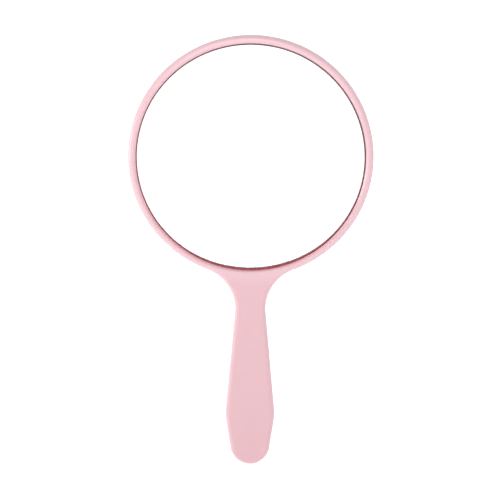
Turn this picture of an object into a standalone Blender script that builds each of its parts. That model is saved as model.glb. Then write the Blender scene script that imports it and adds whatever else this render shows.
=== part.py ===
"""Round salon hand mirror.

The mirror stands in its frame as it is held: the glass faces -Y, the handle
points down (-Z), and the origin is the middle of the grip.  Two moulded
halves, a front frame and a rear cover, close on a flat parting plane at
Y = 0.  A spigot on the front frame laps inside the rear cover, and two
pegs in the handle line the halves up.  The glass is laid in from the front,
on a ring of double-sided tape, with foam pads behind its middle.

All lengths are in metres.
"""

import math

import bmesh
import bpy
from mathutils import Vector

# ---------------------------------------------------------------- dimensions
# Outline of the body, seen from the front
HEAD_RADIUS = 0.0750          # round head
GRIP_TO_HEAD = 0.1460         # middle of the grip up to the middle of the head
NECK_FILLET = 0.0269          # hollow radius where the handle leaves the head
NECK_HALF_WIDTH = 0.0094      # narrowest place of the handle
SHOULDER_RADIUS = 0.0383      # soft corner at the widest place of the handle
SHOULDER_HALF_WIDTH = 0.0153
SHOULDER_DROP = 0.1634        # below the middle of the head
END_RADIUS = 0.0124           # rounded end of the handle
END_DROP = 0.1843             # its centre, below the middle of the head

# Section through the rim and the handle
THICKNESS = 0.0085            # front face to back face
EDGE_FLAT = 0.00105           # straight side, each way from the parting plane
EDGE_ROUND = 0.0026           # how far the rounded edge reaches inwards
SEAM_GAP = 0.0003             # between the two halves
CLEARANCE = 0.0003            # between pieces that meet inside
COVER_WALL = 0.0023           # side wall of the rear cover
COVER_FLOOR = 0.00155         # back wall of the rear cover
SPIGOT_WALL = 0.0015          # lap joint's inner wall
FACE_WALL = 0.0020            # front wall of the hollow handle
RIB_THICKNESS = 0.0014

# Seat of the glass
LIP_RADIUS = 0.0703           # edge of the opening
LIP_DEPTH = 0.0012            # how far the lip lies behind the front face
RIM_CREST_RADIUS = 0.0721     # where the inner slope meets the front face
GLASS_RADIUS = 0.0698
GLASS_THICKNESS = 0.0020
GLASS_SIDEWAYS = -0.00015     # off the middle of its seat, as it was laid in
GLASS_UPWARDS = -0.0003
GLASS_SINK = 0.00045          # glass face below the lip
GLASS_SEAM = 0.0003           # ground edge of the glass
SILVER_THICKNESS = 0.0002     # silver, copper and paint together
TAPE_THICKNESS = 0.0007
LEDGE_RADIUS = 0.0660         # inner edge of the ledge under the tape
LEDGE_THICKNESS = 0.0012

# Pegs of the rear cover and their sockets in the handle
PEG_DROPS = (0.1120, 0.1790)  # below the middle of the head
RIB_DROPS = (0.1245, 0.1455, 0.1665)
PEG_RADIUS = 0.0016
PEG_LEAD = 0.0005             # cone at the peg's tip
SOCKET_WALL = 0.0013

# Foam pads behind the glass
PAD_RADIUS = 0.0110
PAD_RING_RADIUS = 0.0400
PADS_AROUND = 4

# Facets
ARC_STEP = math.radians(4.0)
SHORTEST_ARC_STEPS = 3
ROUND_STEPS = 4
BAY_END_STEPS = 8             # hollow end of the handle's bay, under the head
CIRCLE_SIDES = 90
SMALL_CIRCLE_SIDES = 24
SMOOTH_BELOW = math.radians(35.0)

# ------------------------------------------------------------ derived places
FRONT = -THICKNESS / 2
BACK = THICKNESS / 2
LIP_Y = FRONT + LIP_DEPTH
GLASS_FRONT = LIP_Y + GLASS_SINK
GLASS_BACK = GLASS_FRONT + GLASS_THICKNESS
SILVER_FRONT = GLASS_BACK + CLEARANCE
SILVER_BACK = SILVER_FRONT + SILVER_THICKNESS
TAPE_FRONT = SILVER_BACK + CLEARANCE
TAPE_BACK = TAPE_FRONT + TAPE_THICKNESS
LEDGE_FRONT = TAPE_BACK + CLEARANCE
LEDGE_BACK = LEDGE_FRONT + LEDGE_THICKNESS
COVER_INSIDE = BACK - COVER_FLOOR
SPIGOT_OUTSIDE = COVER_WALL + CLEARANCE
SPIGOT_INSIDE = SPIGOT_OUTSIDE + SPIGOT_WALL
CUTTER_REACH = 0.001          # how far a cutter stands out of what it cuts

HEAD_CENTRE = Vector((0.0, 0.0, GRIP_TO_HEAD))
GLASS_CENTRE = HEAD_CENTRE + Vector((GLASS_SIDEWAYS, 0.0, GLASS_UPWARDS))


# ------------------------------------------------------------------- outline
def tangent_angle(centre_a, radius_a, centre_b, radius_b):
    """Direction of the outward normal of the line that touches both circles.

    A hollow arc counts as a circle of negative radius.
    """
    run = centre_b - centre_a
    heading = math.atan2(run.y, run.x)
    return heading + math.acos((radius_a - radius_b) / run.length)


def outline_arcs():
    """Arcs of the right half: (centre, radius, first normal, last normal)."""
    head = Vector((0.0, 0.0))
    fillet_x = NECK_HALF_WIDTH + NECK_FILLET
    fillet_z = -math.sqrt((HEAD_RADIUS + NECK_FILLET) ** 2 - fillet_x ** 2)
    fillet = Vector((fillet_x, fillet_z))
    shoulder = Vector((SHOULDER_HALF_WIDTH - SHOULDER_RADIUS, -SHOULDER_DROP))
    end = Vector((0.0, -END_DROP))

    leave_head = math.atan2(fillet_z, fillet_x)
    flare = tangent_angle(fillet, -NECK_FILLET, shoulder, SHOULDER_RADIUS)
    taper = tangent_angle(shoulder, SHOULDER_RADIUS, end, END_RADIUS)
    return (
        (head, HEAD_RADIUS, math.pi / 2, leave_head),
        (fillet, -NECK_FILLET, leave_head, flare),
        (shoulder, SHOULDER_RADIUS, flare, taper),
        (end, END_RADIUS, taper, -math.pi / 2),
    )


def outline(inset):
    """Closed outline, moved inwards by inset, as (x, z) from the grip's middle."""
    right = []
    for centre, radius, first, last in outline_arcs():
        steps = max(SHORTEST_ARC_STEPS, math.ceil(abs(last - first) / ARC_STEP))
        for step in range(steps + 1):
            angle = first + (last - first) * step / steps
            normal = Vector((math.cos(angle), math.sin(angle)))
            point = centre + (radius - inset) * normal
            right.append((point.x, point.y + GRIP_TO_HEAD))
    left = [(-x, z) for x, z in reversed(right[1:-1])]
    return [(0.0, right[0][1])] + right[1:-1] + [(0.0, right[-1][1])] + left


# ------------------------------------------------------------- mesh building
def new_object(name, bm, material, smooth=True):
    """Turn a bmesh into an object with its faces out and one material."""
    bmesh.ops.remove_doubles(bm, verts=bm.verts, dist=1e-6)
    bmesh.ops.recalc_face_normals(bm, faces=bm.faces)
    mesh = bpy.data.meshes.new(name)
    bm.to_mesh(mesh)
    bm.free()
    obj = bpy.data.objects.new(name, mesh)
    bpy.context.collection.objects.link(obj)
    if smooth:
        mesh.shade_smooth()
        mesh.set_sharp_from_angle(angle=SMOOTH_BELOW)
    if material:
        mesh.materials.append(material)
    return obj


def skin(bm, rings, closed=False):
    """Join rings of equal length with faces; cap the ends unless it closes."""
    loops = [[bm.verts.new(point) for point in ring] for ring in rings]
    pairs = list(zip(loops, loops[1:]))
    if closed:
        pairs.append((loops[-1], loops[0]))
    for near, far in pairs:
        for i in range(len(near)):
            j = (i + 1) % len(near)
            bm.faces.new((near[i], near[j], far[j], far[i]))
    if not closed:
        bm.faces.new(reversed(loops[0]))
        bm.faces.new(loops[-1])


def outline_ring(inset, y):
    return [(x, y, z) for x, z in outline(inset)]


def circle_ring(centre, radius, y, sides):
    """Ring of points round an axis that runs along Y through centre."""
    turns = [2 * math.pi * (i + 0.5) / sides for i in range(sides)]
    return [(centre.x + radius * math.cos(a), y, centre.z + radius * math.sin(a)) for a in turns]


def turned(name, centre, profile, material, sides=CIRCLE_SIDES, closed=False):
    """Solid turned about an axis along Y; profile is (radius, y) pairs."""
    bm = bmesh.new()
    skin(bm, [circle_ring(centre, r, y, sides) for r, y in profile], closed)
    return new_object(name, bm, material)


def prism(name, points, y_near, y_far):
    """Straight solid of the outline points, from y_near to y_far."""
    bm = bmesh.new()
    skin(bm, [[(x, y, z) for x, z in points] for y in (y_near, y_far)])
    return new_object(name, bm, None, smooth=False)


def box(name, low, high):
    bm = bmesh.new()
    corners = ((low[0], low[2]), (high[0], low[2]), (high[0], high[2]), (low[0], high[2]))
    skin(bm, [[(x, y, z) for x, z in corners] for y in (low[1], high[1])])
    return new_object(name, bm, None, smooth=False)


def boolean(obj, tool, operation):
    """Cut or join obj with tool, which stays in the file as a wire guide."""
    modifier = obj.modifiers.new(tool.name, 'BOOLEAN')
    modifier.operation = operation
    modifier.solver = 'EXACT'
    modifier.object = tool
    tool.hide_render = True
    tool.display_type = 'WIRE'
    tool.parent = obj


def material(name, colour, roughness, metallic=0.0):
    mat = bpy.data.materials.new(name)
    mat.use_nodes = True
    shader = mat.node_tree.nodes["Principled BSDF"]
    shader.inputs["Base Color"].default_value = (*colour, 1.0)
    shader.inputs["Roughness"].default_value = roughness
    shader.inputs["Metallic"].default_value = metallic
    mat.diffuse_color = (*colour, 1.0)
    return mat


# -------------------------------------------------------------------- pieces
def edge_round(side):
    """(inset, y) along the rounded edge, from the straight side to the face."""
    drop = THICKNESS / 2 - EDGE_FLAT
    steps = []
    for step in range(ROUND_STEPS + 1):
        angle = math.pi / 2 * step / ROUND_STEPS
        inset = EDGE_ROUND * (1 - math.cos(angle))
        steps.append((inset, side * (EDGE_FLAT + drop * math.sin(angle))))
    return steps


def handle_place(drop):
    """Point on the handle's middle line, drop below the middle of the head."""
    return HEAD_CENTRE - Vector((0.0, 0.0, drop))


def handle_bays():
    """Outline of the handle's hollow: inside the spigot and below the head."""
    lower = [(x, z) for x, z in outline(SPIGOT_INSIDE) if math.hypot(x, z - GRIP_TO_HEAD) > HEAD_RADIUS]
    top_x, top_z = lower[0]
    reach = math.atan2(top_x, GRIP_TO_HEAD - top_z)
    end = []
    for step in range(1, BAY_END_STEPS):
        angle = reach * (2 * step / BAY_END_STEPS - 1)
        end.append((HEAD_RADIUS * math.sin(angle), GRIP_TO_HEAD - HEAD_RADIUS * math.cos(angle)))
    return lower + end


def front_frame(plastic):
    """Front half: rim, lip and ledge of the glass, handle face and spigot."""
    bm = bmesh.new()
    rings = list(reversed(edge_round(-1)))
    rings += [(0.0, -SEAM_GAP / 2), (SPIGOT_OUTSIDE, -SEAM_GAP / 2), (SPIGOT_OUTSIDE, LEDGE_BACK)]
    skin(bm, [outline_ring(inset, y) for inset, y in rings])
    frame = new_object("front_frame", bm, plastic)

    slope = (RIM_CREST_RADIUS - LIP_RADIUS) / LIP_DEPTH
    pocket = turned("glass_pocket", HEAD_CENTRE, (
        (RIM_CREST_RADIUS + slope * CUTTER_REACH, FRONT - CUTTER_REACH),
        (LIP_RADIUS, LIP_Y),
        (LIP_RADIUS, LEDGE_FRONT),
        (LEDGE_RADIUS, LEDGE_FRONT),
        (LEDGE_RADIUS, LEDGE_BACK + CUTTER_REACH),
    ), None)
    boolean(frame, pocket, 'DIFFERENCE')

    hollow = prism("handle_hollow", handle_bays(), FRONT + FACE_WALL, LEDGE_BACK + CUTTER_REACH)
    for number, drop in enumerate(RIB_DROPS, 1):
        centre = handle_place(drop)
        half = Vector((SHOULDER_HALF_WIDTH, THICKNESS, RIB_THICKNESS / 2))
        boolean(hollow, box(f"rib_guide_{number}", centre - half, centre + half), 'DIFFERENCE')
    boolean(frame, hollow, 'DIFFERENCE')

    socket_radius = PEG_RADIUS + CLEARANCE
    for number, drop in enumerate(PEG_DROPS, 1):
        centre = handle_place(drop)
        wall = socket_radius + SOCKET_WALL
        root = FRONT + FACE_WALL / 2
        post = turned(f"socket_post_{number}", centre, ((wall, root), (wall, LEDGE_BACK)),
                      None, SMALL_CIRCLE_SIDES)
        boolean(frame, post, 'UNION')
        bore = turned(f"socket_bore_{number}", centre,
                      ((socket_radius, FRONT + FACE_WALL), (socket_radius, LEDGE_BACK + CUTTER_REACH)),
                      None, SMALL_CIRCLE_SIDES)
        boolean(frame, bore, 'DIFFERENCE')
    return frame


def rear_cover(plastic):
    """Back half: a shallow tray with a rounded edge and two locating pegs."""
    bm = bmesh.new()
    rings = [(COVER_WALL, COVER_INSIDE), (COVER_WALL, SEAM_GAP / 2), (0.0, SEAM_GAP / 2)]
    rings += edge_round(1)
    skin(bm, [outline_ring(inset, y) for inset, y in rings])
    cover = new_object("rear_cover", bm, plastic)
    for number, drop in enumerate(PEG_DROPS, 1):
        tip = FRONT + FACE_WALL + CLEARANCE
        peg = turned(f"peg_{number}", handle_place(drop), (
            (PEG_RADIUS - PEG_LEAD, tip),
            (PEG_RADIUS, tip + PEG_LEAD),
            (PEG_RADIUS, BACK - COVER_FLOOR / 2),
        ), None, SMALL_CIRCLE_SIDES)
        boolean(cover, peg, 'UNION')
    return cover


def mirror_glass(glass):
    """Float glass disc with both edges ground."""
    edge = GLASS_RADIUS - GLASS_SEAM
    return turned("mirror_glass", GLASS_CENTRE, (
        (edge, GLASS_FRONT),
        (GLASS_RADIUS, GLASS_FRONT + GLASS_SEAM),
        (GLASS_RADIUS, GLASS_BACK - GLASS_SEAM),
        (edge, GLASS_BACK),
    ), glass)


def silver_backing(silver):
    """Silver layer and its protective paint, on the back of the glass."""
    radius = GLASS_RADIUS - GLASS_SEAM
    return turned("silver_backing", GLASS_CENTRE, ((radius, SILVER_FRONT), (radius, SILVER_BACK)), silver)


def seat_tape(foam):
    """Ring of double-sided tape that bonds the glass to the ledge."""
    inner = LEDGE_RADIUS + CLEARANCE
    outer = GLASS_RADIUS - GLASS_SEAM
    return turned("seat_tape", HEAD_CENTRE, (
        (inner, TAPE_FRONT),
        (outer, TAPE_FRONT),
        (outer, TAPE_BACK),
        (inner, TAPE_BACK),
    ), foam, closed=True)


def foam_pads(foam):
    """Round pads that back up the middle of the glass, all sharing one mesh."""
    ends = ((PAD_RADIUS, TAPE_FRONT), (PAD_RADIUS, COVER_INSIDE - CLEARANCE))
    middle = turned("foam_pad_middle", Vector(), ends, foam, SMALL_CIRCLE_SIDES)
    middle.location = HEAD_CENTRE
    pads = [middle]
    for number in range(PADS_AROUND):
        angle = 2 * math.pi * (number + 0.5) / PADS_AROUND
        pad = bpy.data.objects.new(f"foam_pad_{number + 1}", middle.data)
        bpy.context.collection.objects.link(pad)
        pad.location = HEAD_CENTRE + PAD_RING_RADIUS * Vector((math.cos(angle), 0.0, math.sin(angle)))
        pads.append(pad)
    return pads


# --------------------------------------------------------------------- model
def main():
    for obj in list(bpy.data.objects):
        bpy.data.objects.remove(obj, do_unlink=True)

    pink = (0.86, 0.55, 0.60)
    pieces = [
        front_frame(material("front_plastic", pink, 0.32)),
        rear_cover(material("rear_plastic", pink, 0.34)),
        mirror_glass(material("mirror_glass", (0.93, 0.96, 0.95), 0.02)),
        silver_backing(material("silver", (0.92, 0.93, 0.93), 0.03, 1.0)),
        seat_tape(material("tape_foam", (0.90, 0.90, 0.88), 0.85)),
        *foam_pads(material("pad_foam", (0.16, 0.16, 0.17), 0.90)),
    ]
    holder = bpy.data.objects.new("hand_mirror", None)
    bpy.context.collection.objects.link(holder)
    for piece in pieces:
        piece.parent = holder


main()
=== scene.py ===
"""Looks of the round hand mirror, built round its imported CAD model.

The glass faces -Y and the handle points down.  The body is drawn by the same
outline as the CAD part, at a much finer step, with its edges, the lip of the
glass and the parting seam rounded as moulding leaves them.
"""

import math
import random

import bmesh
import bpy
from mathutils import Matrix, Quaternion, Vector


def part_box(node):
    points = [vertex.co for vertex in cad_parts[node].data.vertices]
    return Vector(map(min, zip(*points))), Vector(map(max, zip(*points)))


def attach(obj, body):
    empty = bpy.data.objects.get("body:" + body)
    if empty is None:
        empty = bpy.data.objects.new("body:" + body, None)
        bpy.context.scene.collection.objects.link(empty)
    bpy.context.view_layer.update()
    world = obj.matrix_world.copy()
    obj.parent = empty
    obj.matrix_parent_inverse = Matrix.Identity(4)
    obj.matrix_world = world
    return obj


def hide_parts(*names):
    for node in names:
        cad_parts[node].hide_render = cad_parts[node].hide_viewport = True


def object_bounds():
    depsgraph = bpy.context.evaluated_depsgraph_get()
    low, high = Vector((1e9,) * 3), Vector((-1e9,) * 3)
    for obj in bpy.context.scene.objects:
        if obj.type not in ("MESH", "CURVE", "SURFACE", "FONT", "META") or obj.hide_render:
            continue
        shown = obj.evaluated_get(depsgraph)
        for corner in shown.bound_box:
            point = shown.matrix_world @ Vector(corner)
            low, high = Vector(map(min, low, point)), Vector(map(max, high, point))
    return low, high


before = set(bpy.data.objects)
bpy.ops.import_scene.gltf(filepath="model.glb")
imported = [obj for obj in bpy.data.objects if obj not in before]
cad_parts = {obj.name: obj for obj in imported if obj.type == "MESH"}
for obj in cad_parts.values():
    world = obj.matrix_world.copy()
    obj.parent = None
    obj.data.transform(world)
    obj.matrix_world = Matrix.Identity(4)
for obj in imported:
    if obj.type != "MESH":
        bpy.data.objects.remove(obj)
cad_low, cad_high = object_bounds()

MM = 0.001
BODY = "root"                 # nothing moves, so there is one body

# ------------------------------------------------------------- driving sizes
# Outline of the body, as in the CAD part; drops are below the middle of the head
HEAD_RADIUS = 75.0 * MM
NECK_FILLET = 26.9 * MM
NECK_HALF_WIDTH = 9.4 * MM
SHOULDER_RADIUS = 38.3 * MM
SHOULDER_HALF_WIDTH = 15.3 * MM
SHOULDER_DROP = 163.4 * MM
END_RADIUS = 12.4 * MM
END_DROP = 184.3 * MM

# Section through the rim and the handle
EDGE_FLAT = 1.05 * MM         # half of the straight band round the side
EDGE_ROUND = 2.6 * MM         # how far the rounded edge reaches inwards
COVER_WALL = 2.3 * MM
COVER_FLOOR = 1.55 * MM       # back wall of the rear shell
SPIGOT_INSET = 2.6 * MM       # the front shell's spigot, which fits inside the cover's wall
SEAM_HALF = 0.06 * MM         # half of the gap between the two shells
SEAM_CHAMFER = 0.10 * MM

# Places read from the frame
front_low, front_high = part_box("front_frame")
glass_low, glass_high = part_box("mirror_glass")
silver_low, silver_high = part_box("silver_backing")
tape_low, tape_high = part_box("seat_tape")
_, cover_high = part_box("rear_cover")
FRONT = front_low.y
BACK = cover_high.y
LEDGE_BACK = front_high.y
COVER_INSIDE = BACK - COVER_FLOOR
HEAD_CENTRE = Vector((0.0, 0.0, front_high.z - HEAD_RADIUS))
GLASS_CENTRE = (glass_low + glass_high) / 2

# Seat of the glass
CREST_RADIUS = 72.3 * MM      # inner edge of the flat front face
SLOPE_RADIUS = 71.6 * MM      # where the inner slope would meet the front face
CREST_ROUND = 1.3 * MM        # rounds the corner between the two
LIP_RADIUS = 70.3 * MM
LIP_DEPTH = 1.2 * MM          # behind the front face
LIP_ROUND = 0.18 * MM
LEDGE_RADIUS = 66.0 * MM
CLEARANCE = 0.3 * MM          # between the tape and the ledge, as in the CAD part
LEDGE_FRONT = tape_high.y + CLEARANCE

# Glass, silver, tape and pads
GLASS_RADIUS = 69.8 * MM
GLASS_SEAM = 0.12 * MM        # ground edge of the glass
BOND = 0.02 * MM              # how far the silver reaches into the back of the glass
SILVER_BAND = 2.0 * MM        # outer band of the silver, which carries the chips
TAPE_INSET = 1.2 * MM         # the tape's outer edge, inside the edge of the glass
TAPE_ROUND = 0.2 * MM
TAPE_START = 1.0 * MM         # from the inner edge to where the tape's section starts and closes
PAD_ROUND = 0.7 * MM
PAD_CORE = 0.2 * MM           # small disc that closes each face of a pad

# How far the silver stops short of the edge, and how wide its blackened rim is
BARE_ROUND, BARE_BELOW = 0.17 * MM, 0.52 * MM
STAIN_ROUND, STAIN_BELOW = 0.015 * MM, 0.42 * MM
LOWER_CHIPS, FINE_CHIPS = 70, 60

# Steps along curves, and sides of round pieces
HEAD_STEPS = 160
FILLET_STEPS = 48
SHOULDER_STEPS = 16
END_STEPS = 40
NECK_STEPS = 24               # of the glass opening, past where the outline leaves the head
EDGE_STEPS = 10
CORNER_STEPS = 6
STRAIGHT_FROM = 4.0 * MM      # a gap longer than this is a straight run
STRAIGHT_STEP = 2.0 * MM
SAME_POINT = 1e-7             # points nearer than this are one
SILVER_SIDES = 1440
GLASS_SIDES = 360
TAPE_SIDES = 240
PAD_SIDES = 96
FLOOR_SIDES = 96

# Degrees between two faces, above which the edge between them is sharp
SHARP_ON_DISC = 20.0
SHARP_ON_ROUNDED = 40.0

# ------------------------------------------------------------------- colours
PINK = (0.628, 0.388, 0.411)
DEEP_PINK = (0.620, 0.380, 0.403)
# Painted sheen: paler pink over the whole head, standing in for whiter reflections on the curved rim
SHEEN_PALE_PINK = (0.650, 0.430, 0.450)
# Painted shade: deeper, redder pink down in the groove by the lip
GROOVE_SHADE_PINK = (0.58, 0.14, 0.19)
CLEAR = (0.985, 0.995, 0.99, 1.0)
SILVER = (0.955, 0.957, 0.952, 1.0)
WHITE = (1.0, 1.0, 1.0, 1.0)
OVERHEAD = (0.76, 0.79, 0.87, 1.0)
BARE_EDGE = (0.38, 0.30, 0.32)
# Two shades of each, mixed by its grain or its pores
EDGE_REDS = (0.70, 0.07, 0.10), (0.80, 0.10, 0.14)
PAINT_REDS = (0.50, 0.036, 0.056), (0.60, 0.056, 0.078)
TARNISH_BLACKS = (0.010, 0.014, 0.010), (0.035, 0.040, 0.030)
TAPE_WHITES = (0.55, 0.55, 0.53), (0.85, 0.85, 0.83)
PAD_GREYS = (0.02, 0.02, 0.022), (0.09, 0.09, 0.095)
FLOOR_WHITES = (0.86, 0.86, 0.86), (0.88, 0.88, 0.88)

SHEEN_FADE = 74 * MM, 80 * MM  # from the head's centre: where the painted sheen, paler pink over the head, turns into the handle's pink
GROOVE_SHADE_WIDTH = 1.1 * MM       # from the lip: where the painted shade, a deeper pink in the groove, ends

# -------------------------------------------------------------------- studio
CAMERA_ELEVATION = math.radians(13.3)
CAMERA_ROLL = math.radians(0.2)
CAMERA_DISTANCE = 1.2
CAMERA_LENS, CAMERA_SENSOR = 139.8, 36.0      # mm
CAMERA_AIM = HEAD_CENTRE + Vector((-0.35, 0.0, -58.05)) * MM
FLOOR_RADIUS = 30.0
FLOOR_GAP = 0.3 * MM          # below the end of the handle

# Name, place, diameter and power of each lamp
LAMPS = (
    ("left_softbox", (-1.1, -0.16, -0.05), 0.8, 9.5),
    ("front_softbox", (-0.05, -0.38, 0.37), 0.34, 0.82),
    ("right_softbox", (0.40, -0.50, 0.50), 0.4, 0.3),
)

# Strength of the dome: dim in front of the glass, bright behind it and at the horizon.
# Axis, from, to, and the factor at each.
DOME_SLOPES = (
    ("X", -1.0, 1.0, 1.02, 0.98),
    ("Y", -1.0, 1.0, 0.62, 1.16),
    ("Z", 0.0, 0.08, 1.9, 1.0),
)


# ------------------------------------------------------------------- outline
def direction(angle):
    """Unit vector at an angle from the first of two axes."""
    return Vector((math.cos(angle), math.sin(angle)))


def tangent_angle(centre_a, radius_a, centre_b, radius_b):
    """Outward normal of the line that touches two circles (hollow ones < 0)."""
    run = centre_b - centre_a
    return math.atan2(run.y, run.x) + math.acos((radius_a - radius_b) / run.length)


def straight(start, stop):
    """(point, normal) pairs strictly between the two ends of a straight run."""
    count = math.ceil((stop[0] - start[0]).length / STRAIGHT_STEP)
    return [(start[0].lerp(stop[0], i / count), start[1]) for i in range(1, count)]


def half_outline():
    """Right half of the outline, round the head's centre: (point, outward normal) pairs."""
    fillet_x = NECK_HALF_WIDTH + NECK_FILLET
    fillet_z = -math.sqrt((HEAD_RADIUS + NECK_FILLET) ** 2 - fillet_x ** 2)
    head = Vector((0.0, 0.0))
    fillet = Vector((fillet_x, fillet_z))
    shoulder = Vector((SHOULDER_HALF_WIDTH - SHOULDER_RADIUS, -SHOULDER_DROP))
    end = Vector((0.0, -END_DROP))
    leave = math.atan2(fillet_z, fillet_x)
    flare = tangent_angle(fillet, -NECK_FILLET, shoulder, SHOULDER_RADIUS)
    taper = tangent_angle(shoulder, SHOULDER_RADIUS, end, END_RADIUS)
    arcs = (
        (head, HEAD_RADIUS, math.pi / 2, leave, HEAD_STEPS),
        (fillet, -NECK_FILLET, leave, flare, FILLET_STEPS),
        (shoulder, SHOULDER_RADIUS, flare, taper, SHOULDER_STEPS),
        (end, END_RADIUS, taper, -math.pi / 2, END_STEPS),
    )
    half = []
    for centre, radius, first, last, steps in arcs:
        for step in range(steps + 1):
            normal = direction(first + (last - first) * step / steps)
            point = centre + radius * normal
            if half and (point - half[-1][0]).length > STRAIGHT_FROM:
                half += straight(half[-1], (point, normal))
            if not half or (point - half[-1][0]).length > SAME_POINT:
                half.append((point, normal))
    return half


HALF = half_outline()


def outline_ring(inset, y):
    """Full outline, clockwise from the top, moved inwards by inset."""
    right = [(p.x - inset * n.x, p.y - inset * n.y) for p, n in HALF]
    left = [(-x, z) for x, z in reversed(right[1:-1])]
    return [(x, y, z + HEAD_CENTRE.z) for x, z in right + left]


def hole_ring(radius, y):
    """Ring round the head's centre whose points pair with outline_ring's."""
    right = [normal for _, normal in HALF[:HEAD_STEPS + 1]]
    leave = math.atan2(right[-1].y, right[-1].x)
    for step in range(1, NECK_STEPS + 1):
        right.append(direction(leave + (-math.pi / 2 - leave) * step / NECK_STEPS))
    left = [Vector((-n.x, n.y)) for n in reversed(right[1:-1])]
    return [(radius * n.x, y, radius * n.y + HEAD_CENTRE.z) for n in right + left]


def even_turns(sides):
    return [2 * math.pi * i / sides for i in range(sides)]


def wavy_ring(centre, radii, y):
    """Ring of evenly spaced points, each at a radius of its own."""
    turns = even_turns(len(radii))
    return [(centre.x + r * math.cos(a), y, centre.z + r * math.sin(a)) for r, a in zip(radii, turns)]


def disc_ring(centre, radius, y, sides):
    return wavy_ring(centre, [radius] * sides, y)


def rounded(points, radii):
    """Polyline of (radius, y) with each inner corner turned into an arc, or kept if its radius is 0."""
    path = [Vector(points[0])]
    for before, corner, after, radius in zip(points, points[1:], points[2:], radii):
        corner = Vector(corner)
        if radius == 0:
            path.append(corner)
            continue
        into = (Vector(before) - corner).normalized()
        out = (Vector(after) - corner).normalized()
        half_angle = into.angle(out) / 2
        reach = radius / math.tan(half_angle)
        centre = corner + (into + out).normalized() * (radius / math.sin(half_angle))
        first_arm = corner + into * reach - centre
        last_arm = corner + out * reach - centre
        first = math.atan2(first_arm.y, first_arm.x)
        last = math.atan2(last_arm.y, last_arm.x)
        sweep = (last - first + math.pi) % (2 * math.pi) - math.pi
        for step in range(CORNER_STEPS + 1):
            path.append(centre + radius * direction(first + sweep * step / CORNER_STEPS))
    path.append(Vector(points[-1]))
    return path


def edge_round(side):
    """(inset, y) from the straight side to the flat face; side is -1 in front, 1 behind."""
    depth = BACK - EDGE_FLAT
    steps = []
    for step in range(EDGE_STEPS + 1):
        angle = math.pi / 2 * step / EDGE_STEPS
        steps.append((EDGE_ROUND * (1 - math.cos(angle)), side * (EDGE_FLAT + depth * math.sin(angle))))
    return steps


# -------------------------------------------------------------- mesh helpers
def bridge(bm, near, far):
    """Quads between two rings of the same length."""
    for i in range(len(near)):
        j = (i + 1) % len(near)
        bm.faces.new((near[i], near[j], far[j], far[i]))


def bridge_all(bm, rings):
    """Wall through all the rings in turn; returns their vertices."""
    loops = [[bm.verts.new(point) for point in ring] for ring in rings]
    for near, far in zip(loops, loops[1:]):
        bridge(bm, near, far)
    return loops


def cap_ends(bm, loops):
    """One face over the first ring, and one over the last."""
    bm.faces.new(loops[0])
    bm.faces.new(loops[-1])


def ladder(bm, right, left, middle_top):
    """Flat fill between mirrored points, rung by rung, with a middle line."""
    above_r, above_l, above_m = right[0], left[0], middle_top
    for here_r, here_l in zip(right[1:-1], left[1:-1]):
        here_m = bm.verts.new((here_r.co + here_l.co) / 2)
        bm.faces.new((above_r, above_m, here_m, here_r))
        bm.faces.new((above_m, above_l, here_l, here_m))
        above_r, above_l, above_m = here_r, here_l, here_m
    tip = right[-1]
    bm.faces.new((above_r, above_m, tip))
    bm.faces.new((above_m, above_l, tip))


def fill_outline(bm, loop):
    """Flat cap over a whole outline ring."""
    half = len(loop) // 2
    right = loop[1:half + 1]
    left = [loop[-i] for i in range(1, half + 1)]
    top = bm.verts.new((right[0].co + left[0].co) / 2)
    bm.faces.new((loop[0], top, right[0]))
    bm.faces.new((loop[0], left[0], top))
    ladder(bm, right, left, top)


def fill_round_hole(bm, loop, hole):
    """Flat face between an outline ring and the round hole in its head."""
    half, span = len(loop) // 2, HEAD_STEPS + NECK_STEPS
    for i in range(span):
        bm.faces.new((loop[i], loop[i + 1], hole[i + 1], hole[i]))
        bm.faces.new((loop[-i - 1], loop[-i], hole[-i], hole[-i - 1]))
    right = [loop[i] for i in range(span, half + 1)]
    left = [loop[-i] for i in range(span, half + 1)]
    ladder(bm, right, left, hole[span])


def link_object(name, bm, materials):
    """New object of a finished bmesh, which is freed."""
    mesh = bpy.data.meshes.new(name)
    bm.to_mesh(mesh)
    bm.free()
    for material in materials:
        mesh.materials.append(material)
    obj = bpy.data.objects.new(name, mesh)
    bpy.context.collection.objects.link(obj)
    return obj


def finish_object(name, bm, materials, sharp=SHARP_ON_ROUNDED):
    """Smooth-shaded object, with edges over so many degrees kept sharp."""
    bmesh.ops.recalc_face_normals(bm, faces=bm.faces)
    obj = link_object(name, bm, materials)
    obj.data.shade_smooth()
    obj.data.set_sharp_from_angle(angle=math.radians(sharp))
    return obj


def finish_shell(name, bm, material):
    """Moulded shell, whose wide flat faces stay flat where they meet a rounded edge."""
    obj = finish_object(name, bm, [material])
    modifier = obj.modifiers.new("weighted_normals", 'WEIGHTED_NORMAL')
    modifier.mode = 'FACE_AREA'
    modifier.weight = 80
    modifier.keep_sharp = True
    return obj


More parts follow.
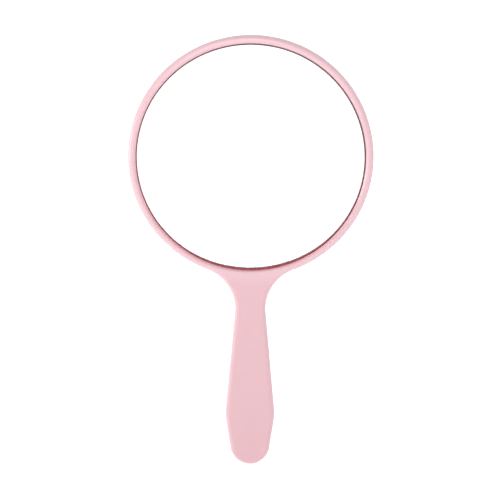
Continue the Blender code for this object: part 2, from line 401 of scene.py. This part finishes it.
# -------------------------------------------------------------- node helpers
class Nodes:
    """Short hand for building a node tree."""

    def __init__(self, tree):
        self.tree = tree

    def add(self, kind, **settings):
        node = self.tree.nodes.new(kind)
        for key, value in settings.items():
            setattr(node, key, value)
        return node

    def link(self, source, target):
        self.tree.links.new(source, target)

    def place(self):
        """Place in the object's own space."""
        return self.add('ShaderNodeTexCoord').outputs["Object"]

    def noise(self, scale, detail=2.0, roughness=0.5):
        """Noise over the object's own space; scale is features per metre."""
        node = self.add('ShaderNodeTexNoise')
        node.inputs["Scale"].default_value = scale
        node.inputs["Detail"].default_value = detail
        node.inputs["Roughness"].default_value = roughness
        self.link(self.place(), node.inputs["Vector"])
        return node.outputs["Fac"]

    def pores(self, scale):
        """Round cells over the object's own space; scale is cells per metre."""
        node = self.add('ShaderNodeTexVoronoi')
        node.inputs["Scale"].default_value = scale
        self.link(self.place(), node.inputs["Vector"])
        return node.outputs["Distance"]

    def ramp(self, value, low, high, out_low=0.0, out_high=1.0):
        """Straight change from out_low to out_high as value goes from low to high."""
        node = self.add('ShaderNodeMapRange', clamp=True)
        node.inputs["From Min"].default_value = low
        node.inputs["From Max"].default_value = high
        node.inputs["To Min"].default_value = out_low
        node.inputs["To Max"].default_value = out_high
        self.link(value, node.inputs["Value"])
        return node.outputs["Result"]

    def reach(self):
        """Distance from the head's centre."""
        node = self.add('ShaderNodeVectorMath', operation='DISTANCE')
        node.inputs[1].default_value = HEAD_CENTRE
        self.link(self.place(), node.inputs[0])
        return node.outputs["Value"]

    def slope(self, heading, start, stop, out_low=0.0, out_high=1.0):
        """Ramp along a heading, with start and stop measured from the head's centre."""
        node = self.add('ShaderNodeVectorMath', operation='DOT_PRODUCT')
        node.inputs[1].default_value = heading
        self.link(self.place(), node.inputs[0])
        middle = HEAD_CENTRE.dot(Vector(heading))
        return self.ramp(node.outputs["Value"], middle + start, middle + stop, out_low, out_high)

    def product(self, first, second):
        node = self.add('ShaderNodeMath', operation='MULTIPLY')
        self.link(first, node.inputs[0])
        self.link(second, node.inputs[1])
        return node.outputs["Value"]

    def mix(self, factor, colour_a, colour_b):
        """Mix of two colours, each a tuple or another node's output."""
        node = self.add('ShaderNodeMix', data_type='RGBA')
        self.link(factor, node.inputs["Factor"])
        for key, colour in (("A", colour_a), ("B", colour_b)):
            socket = [s for s in node.inputs if s.name == key and s.type == 'RGBA'][0]
            if isinstance(colour, bpy.types.NodeSocket):
                self.link(colour, socket)
            else:
                socket.default_value = (*colour, 1.0)
        return [s for s in node.outputs if s.type == 'RGBA'][0]

    def bump(self, height, distance, strength=1.0, before=None):
        """Bump of a height field, on top of another bump if one is given."""
        node = self.add('ShaderNodeBump')
        node.inputs["Distance"].default_value = distance
        node.inputs["Strength"].default_value = strength
        self.link(height, node.inputs["Height"])
        if before:
            self.link(before, node.inputs["Normal"])
        return node.outputs["Normal"]


class Material(Nodes):
    """A new material, whose shader's inputs are set by name."""

    def __init__(self, name):
        self.material = bpy.data.materials.new(name)
        self.material.use_nodes = True
        super().__init__(self.material.node_tree)

    def set(self, **values):
        """Give the shader's inputs their values, or link them to other nodes' outputs."""
        shader = self.tree.nodes["Principled BSDF"]
        for key, value in values.items():
            socket = shader.inputs[key.replace("_", " ")]
            if isinstance(value, bpy.types.NodeSocket):
                self.link(value, socket)
            else:
                socket.default_value = value
        return self.material


# ----------------------------------------------------------------- materials
def pink_plastic(name, lip=False):
    """Satin moulded ABS, faintly cloudy with a fine skin, and paler over the head, which is a painted
    sheen.

    With a lip, it also has painted shade: deeper pink in the groove there, mostly at the lower left.
    """
    n = Material(name)
    cloud = n.ramp(n.noise(38.0, detail=3.0), 0.3, 0.7)
    speck = n.ramp(n.noise(1500.0, detail=1.0), 0.2, 0.8, 0.0, 0.3)
    satin = n.ramp(n.noise(420.0, detail=4.0, roughness=0.6), 0.3, 0.7, 0.28, 0.31)
    skin = n.bump(n.noise(1800.0, detail=1.0), 0.002 * MM, strength=0.2)
    ripple = n.bump(n.noise(90.0, detail=1.0), 0.02 * MM, strength=0.15, before=skin)
    reach = n.reach()
    # Painted sheen: the head is paler, fading into the handle's pink
    painted_sheen = n.ramp(reach, *SHEEN_FADE, 1.0, 0.0)
    colour = n.mix(painted_sheen, n.mix(cloud, DEEP_PINK, PINK), SHEEN_PALE_PINK)
    colour = n.mix(speck, colour, DEEP_PINK)
    if lip:
        # Painted shade: deeper pink in the groove by the lip, strongest at the lower left
        groove_shade = n.ramp(reach, LIP_RADIUS, LIP_RADIUS + GROOVE_SHADE_WIDTH, 1.0, 0.0)
        shade_lower_left = n.slope((-0.39, 0.0, -0.92), 20 * MM, 70 * MM, 0.05, 0.65)
        colour = n.mix(n.product(groove_shade, shade_lower_left), colour, GROOVE_SHADE_PINK)
    return n.set(Base_Color=colour, Roughness=satin, IOR=1.53, Normal=ripple, Subsurface_Weight=0.15,
                 Subsurface_Radius=(1.0, 0.30, 0.32), Subsurface_Scale=1.2 * MM)


def clear_glass():
    n = Material("clear_glass")
    smear = n.ramp(n.noise(60.0, detail=4.0), 0.45, 0.75, 0.0, 0.012)
    return n.set(Base_Color=CLEAR, Roughness=smear, IOR=1.52, Transmission_Weight=1.0)


def cut_edge():
    """Cut edge of the glass: red with backing paint, turning dull grey to the upper right."""
    n = Material("cut_glass_edge")
    grain = n.noise(3000.0, detail=3.0)
    upper_right = n.slope((0.6, 0.0, 0.8), -15 * MM, 60 * MM)
    return n.set(Base_Color=n.mix(upper_right, n.mix(grain, *EDGE_REDS), BARE_EDGE), Roughness=0.35,
                 IOR=1.52, Transmission_Weight=0.1, Normal=n.bump(grain, 0.006 * MM))


def silver():
    n = Material("silver_layer")
    haze = n.ramp(n.noise(90.0, detail=3.0), 0.4, 0.8, 0.0, 0.015)
    return n.set(Base_Color=SILVER, Metallic=1.0, Roughness=haze)


def backing_paint():
    n = Material("backing_paint")
    grain = n.noise(900.0, detail=4.0)
    return n.set(Base_Color=n.mix(grain, *PAINT_REDS), Roughness=0.6, Normal=n.bump(grain, 0.02 * MM))


def tarnish():
    """Blackened rim of the silver, where damp has crept in."""
    n = Material("silver_tarnish")
    return n.set(Base_Color=n.mix(n.noise(2500.0, detail=3.0), *TARNISH_BLACKS), Roughness=0.5)


def foam(name, dark, light):
    n = Material(name)
    pores = n.pores(2400.0)
    return n.set(Base_Color=n.mix(n.ramp(pores, 0.0, 0.6), dark, light), Roughness=0.9,
                 Normal=n.bump(pores, 0.05 * MM))


def pale_floor():
    """Pale, evenly lit floor, which glows a little so that it stays plain."""
    n = Material("pale_floor")
    tone = n.ramp(n.noise(3.0), 0.3, 0.7)
    return n.set(Base_Color=n.mix(tone, *FLOOR_WHITES), Roughness=0.8, Emission_Color=WHITE,
                 Emission_Strength=0.62, Specular_IOR_Level=0.2)


# -------------------------------------------------------------------- pieces
def build_front(material):
    """Front shell: rim and handle face, lip and seat of the glass."""
    outside = list(reversed(edge_round(-1)))
    outside += [(0.0, -SEAM_HALF - SEAM_CHAMFER), (SEAM_CHAMFER, -SEAM_HALF),
                (SPIGOT_INSET, -SEAM_HALF), (SPIGOT_INSET, LEDGE_BACK)]
    seat = ((CREST_RADIUS, FRONT), (SLOPE_RADIUS, FRONT), (LIP_RADIUS, FRONT + LIP_DEPTH),
            (LIP_RADIUS, LEDGE_FRONT), (LEDGE_RADIUS, LEDGE_FRONT), (LEDGE_RADIUS, LEDGE_BACK))
    inside = rounded(seat, (CREST_ROUND, LIP_ROUND, 0, 0))
    bm = bmesh.new()
    outer = bridge_all(bm, [outline_ring(inset, y) for inset, y in outside])
    inner = bridge_all(bm, [hole_ring(p.x, p.y) for p in inside])
    fill_round_hole(bm, outer[0], inner[0])
    fill_round_hole(bm, outer[-1], inner[-1])
    return finish_shell("front_shell", bm, material)


def build_cover(material):
    """Rear shell: a shallow tray with a rounded edge."""
    rings = [(COVER_WALL, COVER_INSIDE), (COVER_WALL, SEAM_HALF), (SEAM_CHAMFER, SEAM_HALF),
             (0.0, SEAM_HALF + SEAM_CHAMFER)]
    rings += edge_round(1)
    bm = bmesh.new()
    loops = bridge_all(bm, [outline_ring(inset, y) for inset, y in rings])
    fill_outline(bm, loops[0])
    fill_outline(bm, loops[-1])
    return finish_shell("rear_shell", bm, material)


def build_glass(face_material, edge_material):
    """Float glass disc, both edges seamed."""
    inner = GLASS_RADIUS - GLASS_SEAM
    profile = ((inner, glass_low.y), (GLASS_RADIUS, glass_low.y + GLASS_SEAM),
               (GLASS_RADIUS, glass_high.y - GLASS_SEAM), (inner, glass_high.y))
    bm = bmesh.new()
    loops = bridge_all(bm, [disc_ring(GLASS_CENTRE, r, y, GLASS_SIDES) for r, y in profile])
    for face in bm.faces:
        face.material_index = 1
    cap_ends(bm, loops)
    return finish_object("glass_disc", bm, [face_material, edge_material], SHARP_ON_DISC)


def silver_chips():
    """(place, half width, depth) of chips in the silver: most low down, fine ones all round."""
    rng = random.Random(7)
    chips = []
    for _ in range(LOWER_CHIPS):
        place = math.radians(rng.gauss(-93.0, 24.0))
        chips.append((place, math.radians(rng.uniform(0.2, 0.9)), rng.uniform(0.03, 0.18) * MM))
    for _ in range(FINE_CHIPS):
        place = rng.uniform(0, 2 * math.pi)
        chips.append((place, math.radians(rng.uniform(0.2, 0.8)), rng.uniform(0.01, 0.06) * MM))
    return chips


def chipped_edge(angle, chips):
    """How deep the deepest chip at this angle is."""
    loss = 0.0
    for place, half_width, depth in chips:
        off = abs((angle - place + math.pi) % (2 * math.pi) - math.pi) / half_width
        if off < 1.0:
            loss = max(loss, depth * (1.0 - off * off))
    return loss


def lobe(angle, peak, sharpness):
    """1 at the peak (in degrees), falling smoothly to 0 a quarter turn away."""
    return max(0.0, math.cos(angle - math.radians(peak))) ** sharpness


def build_silver(silver_material, tarnish_material):
    """Silver film, short of the edge and chipped and blackened there, mostly low down."""
    full = GLASS_RADIUS - GLASS_SEAM
    front, back = glass_high.y - BOND, silver_low.y
    chips = silver_chips()
    film_edge, sound_edge = [], []
    for angle in even_turns(SILVER_SIDES):
        bare = BARE_ROUND + BARE_BELOW * lobe(angle, -80.0, 4) + chipped_edge(angle, chips)
        stain = STAIN_ROUND + STAIN_BELOW * lobe(angle, -90.0, 5)
        film_edge.append(full - bare)
        sound_edge.append(full - (bare + stain))
    bm = bmesh.new()
    loops = bridge_all(bm, [
        disc_ring(GLASS_CENTRE, full - SILVER_BAND, front, SILVER_SIDES),
        wavy_ring(GLASS_CENTRE, sound_edge, front),
        wavy_ring(GLASS_CENTRE, film_edge, front),
        wavy_ring(GLASS_CENTRE, film_edge, back),
        disc_ring(GLASS_CENTRE, full - SILVER_BAND, back, SILVER_SIDES),
    ])
    stained = set(loops[1] + loops[2])
    for face in bm.faces:
        if stained.issuperset(face.verts):
            face.material_index = 1
    cap_ends(bm, loops)
    return finish_object("silver_film", bm, [silver_material, tarnish_material], SHARP_ON_DISC)


def build_paint(material):
    """Coat of paint over the back of the silver, out to the seam of the glass."""
    radius = GLASS_RADIUS - GLASS_SEAM
    faces = (glass_high.y - BOND / 2, silver_high.y)
    bm = bmesh.new()
    cap_ends(bm, bridge_all(bm, [disc_ring(GLASS_CENTRE, radius, y, GLASS_SIDES) for y in faces]))
    return finish_object("backing_paint_coat", bm, [material], SHARP_ON_DISC)


def build_tape(material):
    """Foam tape ring with rounded edges."""
    inner, outer = LEDGE_RADIUS + CLEARANCE, GLASS_RADIUS - TAPE_INSET
    front, back = tape_low.y, tape_high.y
    start = (inner + TAPE_START, front)
    section = (start, (outer, front), (outer, back), (inner, back), (inner, front), start)
    profile = rounded(section, [TAPE_ROUND] * 4)[:-1]
    bm = bmesh.new()
    loops = bridge_all(bm, [disc_ring(HEAD_CENTRE, p.x, p.y, TAPE_SIDES) for p in profile])
    bridge(bm, loops[-1], loops[0])
    return finish_object("foam_tape", bm, [material])


def build_pad(node, material):
    """Foam pad with rounded edges, where its CAD node lies."""
    low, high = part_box(node)
    centre, radius = (low + high) / 2, (high.x - low.x) / 2
    section = ((PAD_CORE, low.y), (radius, low.y), (radius, high.y), (PAD_CORE, high.y))
    profile = rounded(section, [PAD_ROUND] * 2)
    bm = bmesh.new()
    cap_ends(bm, bridge_all(bm, [disc_ring(centre, p.x, p.y, PAD_SIDES) for p in profile]))
    return finish_object(node.replace("foam_pad", "pad"), bm, [material])


def stand_in(piece, node):
    """Let a piece stand for a CAD node."""
    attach(piece, BODY)
    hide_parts(node)


def build_mirror():
    """Every piece of the mirror, each for its CAD node, and the paint, which has none."""
    stand_in(build_front(pink_plastic("pink_plastic_front", lip=True)), "front_frame")
    stand_in(build_cover(pink_plastic("pink_plastic_rear")), "rear_cover")
    stand_in(build_glass(clear_glass(), cut_edge()), "mirror_glass")
    stand_in(build_silver(silver(), tarnish()), "silver_backing")
    paint = build_paint(backing_paint())
    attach(paint, BODY)
    stand_in(build_tape(foam("tape_foam", *TAPE_WHITES)), "seat_tape")
    pad_foam = foam("pad_foam", *PAD_GREYS)
    for node in sorted(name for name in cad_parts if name.startswith("foam_pad")):
        pad = build_pad(node, pad_foam)
        stand_in(pad, node)


# --------------------------------------------------------------------- stage
def build_floor():
    """Plain pale floor, just below the end of the handle."""
    bm = bmesh.new()
    bmesh.ops.create_circle(bm, cap_ends=True, segments=FLOOR_SIDES, radius=FLOOR_RADIUS)
    floor = link_object("floor", bm, [pale_floor()])
    floor.location.z = cad_low.z - FLOOR_GAP


def build_world():
    """Soft studio dome: brightest at the horizon and behind the mirror, cooler overhead."""
    world = bpy.data.worlds.new("studio_dome")
    bpy.context.scene.world = world
    world.use_nodes = True
    n = Nodes(world.node_tree)
    split = n.add('ShaderNodeSeparateXYZ')
    n.link(n.add('ShaderNodeTexCoord').outputs["Generated"], split.inputs["Vector"])
    tint = n.add('ShaderNodeValToRGB')
    n.link(split.outputs["Z"], tint.inputs["Fac"])
    horizon, overhead = tint.color_ramp.elements
    horizon.position, horizon.color = 0.0, WHITE
    overhead.position, overhead.color = 0.8, OVERHEAD
    across, depth, height = [n.ramp(split.outputs[axis], *change) for axis, *change in DOME_SLOPES]
    background = n.tree.nodes["Background"]
    n.link(tint.outputs["Color"], background.inputs["Color"])
    n.link(n.product(n.product(across, depth), height), background.inputs["Strength"])


def add_softbox(name, place, size, power):
    """Round area lamp that looks at the middle of the head."""
    lamp = bpy.data.lights.new(name, 'AREA')
    lamp.shape = 'DISK'
    lamp.size = size
    lamp.energy = power
    obj = bpy.data.objects.new(name, lamp)
    obj.location = place
    obj.rotation_euler = (HEAD_CENTRE - Vector(place)).to_track_quat('-Z', 'Y').to_euler()
    bpy.context.collection.objects.link(obj)


def build_camera():
    """Camera on the mirror's middle plane, looking a little down on it."""
    back = Vector((0.0, -math.cos(CAMERA_ELEVATION), math.sin(CAMERA_ELEVATION)))
    data = bpy.data.cameras.new("camera")
    data.lens = CAMERA_LENS
    data.sensor_width = CAMERA_SENSOR
    camera = bpy.data.objects.new("camera", data)
    camera.rotation_mode = 'QUATERNION'
    camera.location = CAMERA_AIM + back * CAMERA_DISTANCE
    camera.rotation_quaternion = Quaternion(back, CAMERA_ROLL) @ back.to_track_quat('Z', 'Y')
    bpy.context.collection.objects.link(camera)
    bpy.context.scene.camera = camera


def main():
    bpy.context.scene.view_settings.view_transform = 'Standard'
    build_camera()
    build_world()
    build_floor()
    for lamp in LAMPS:
        add_softbox(*lamp)
    build_mirror()


main()
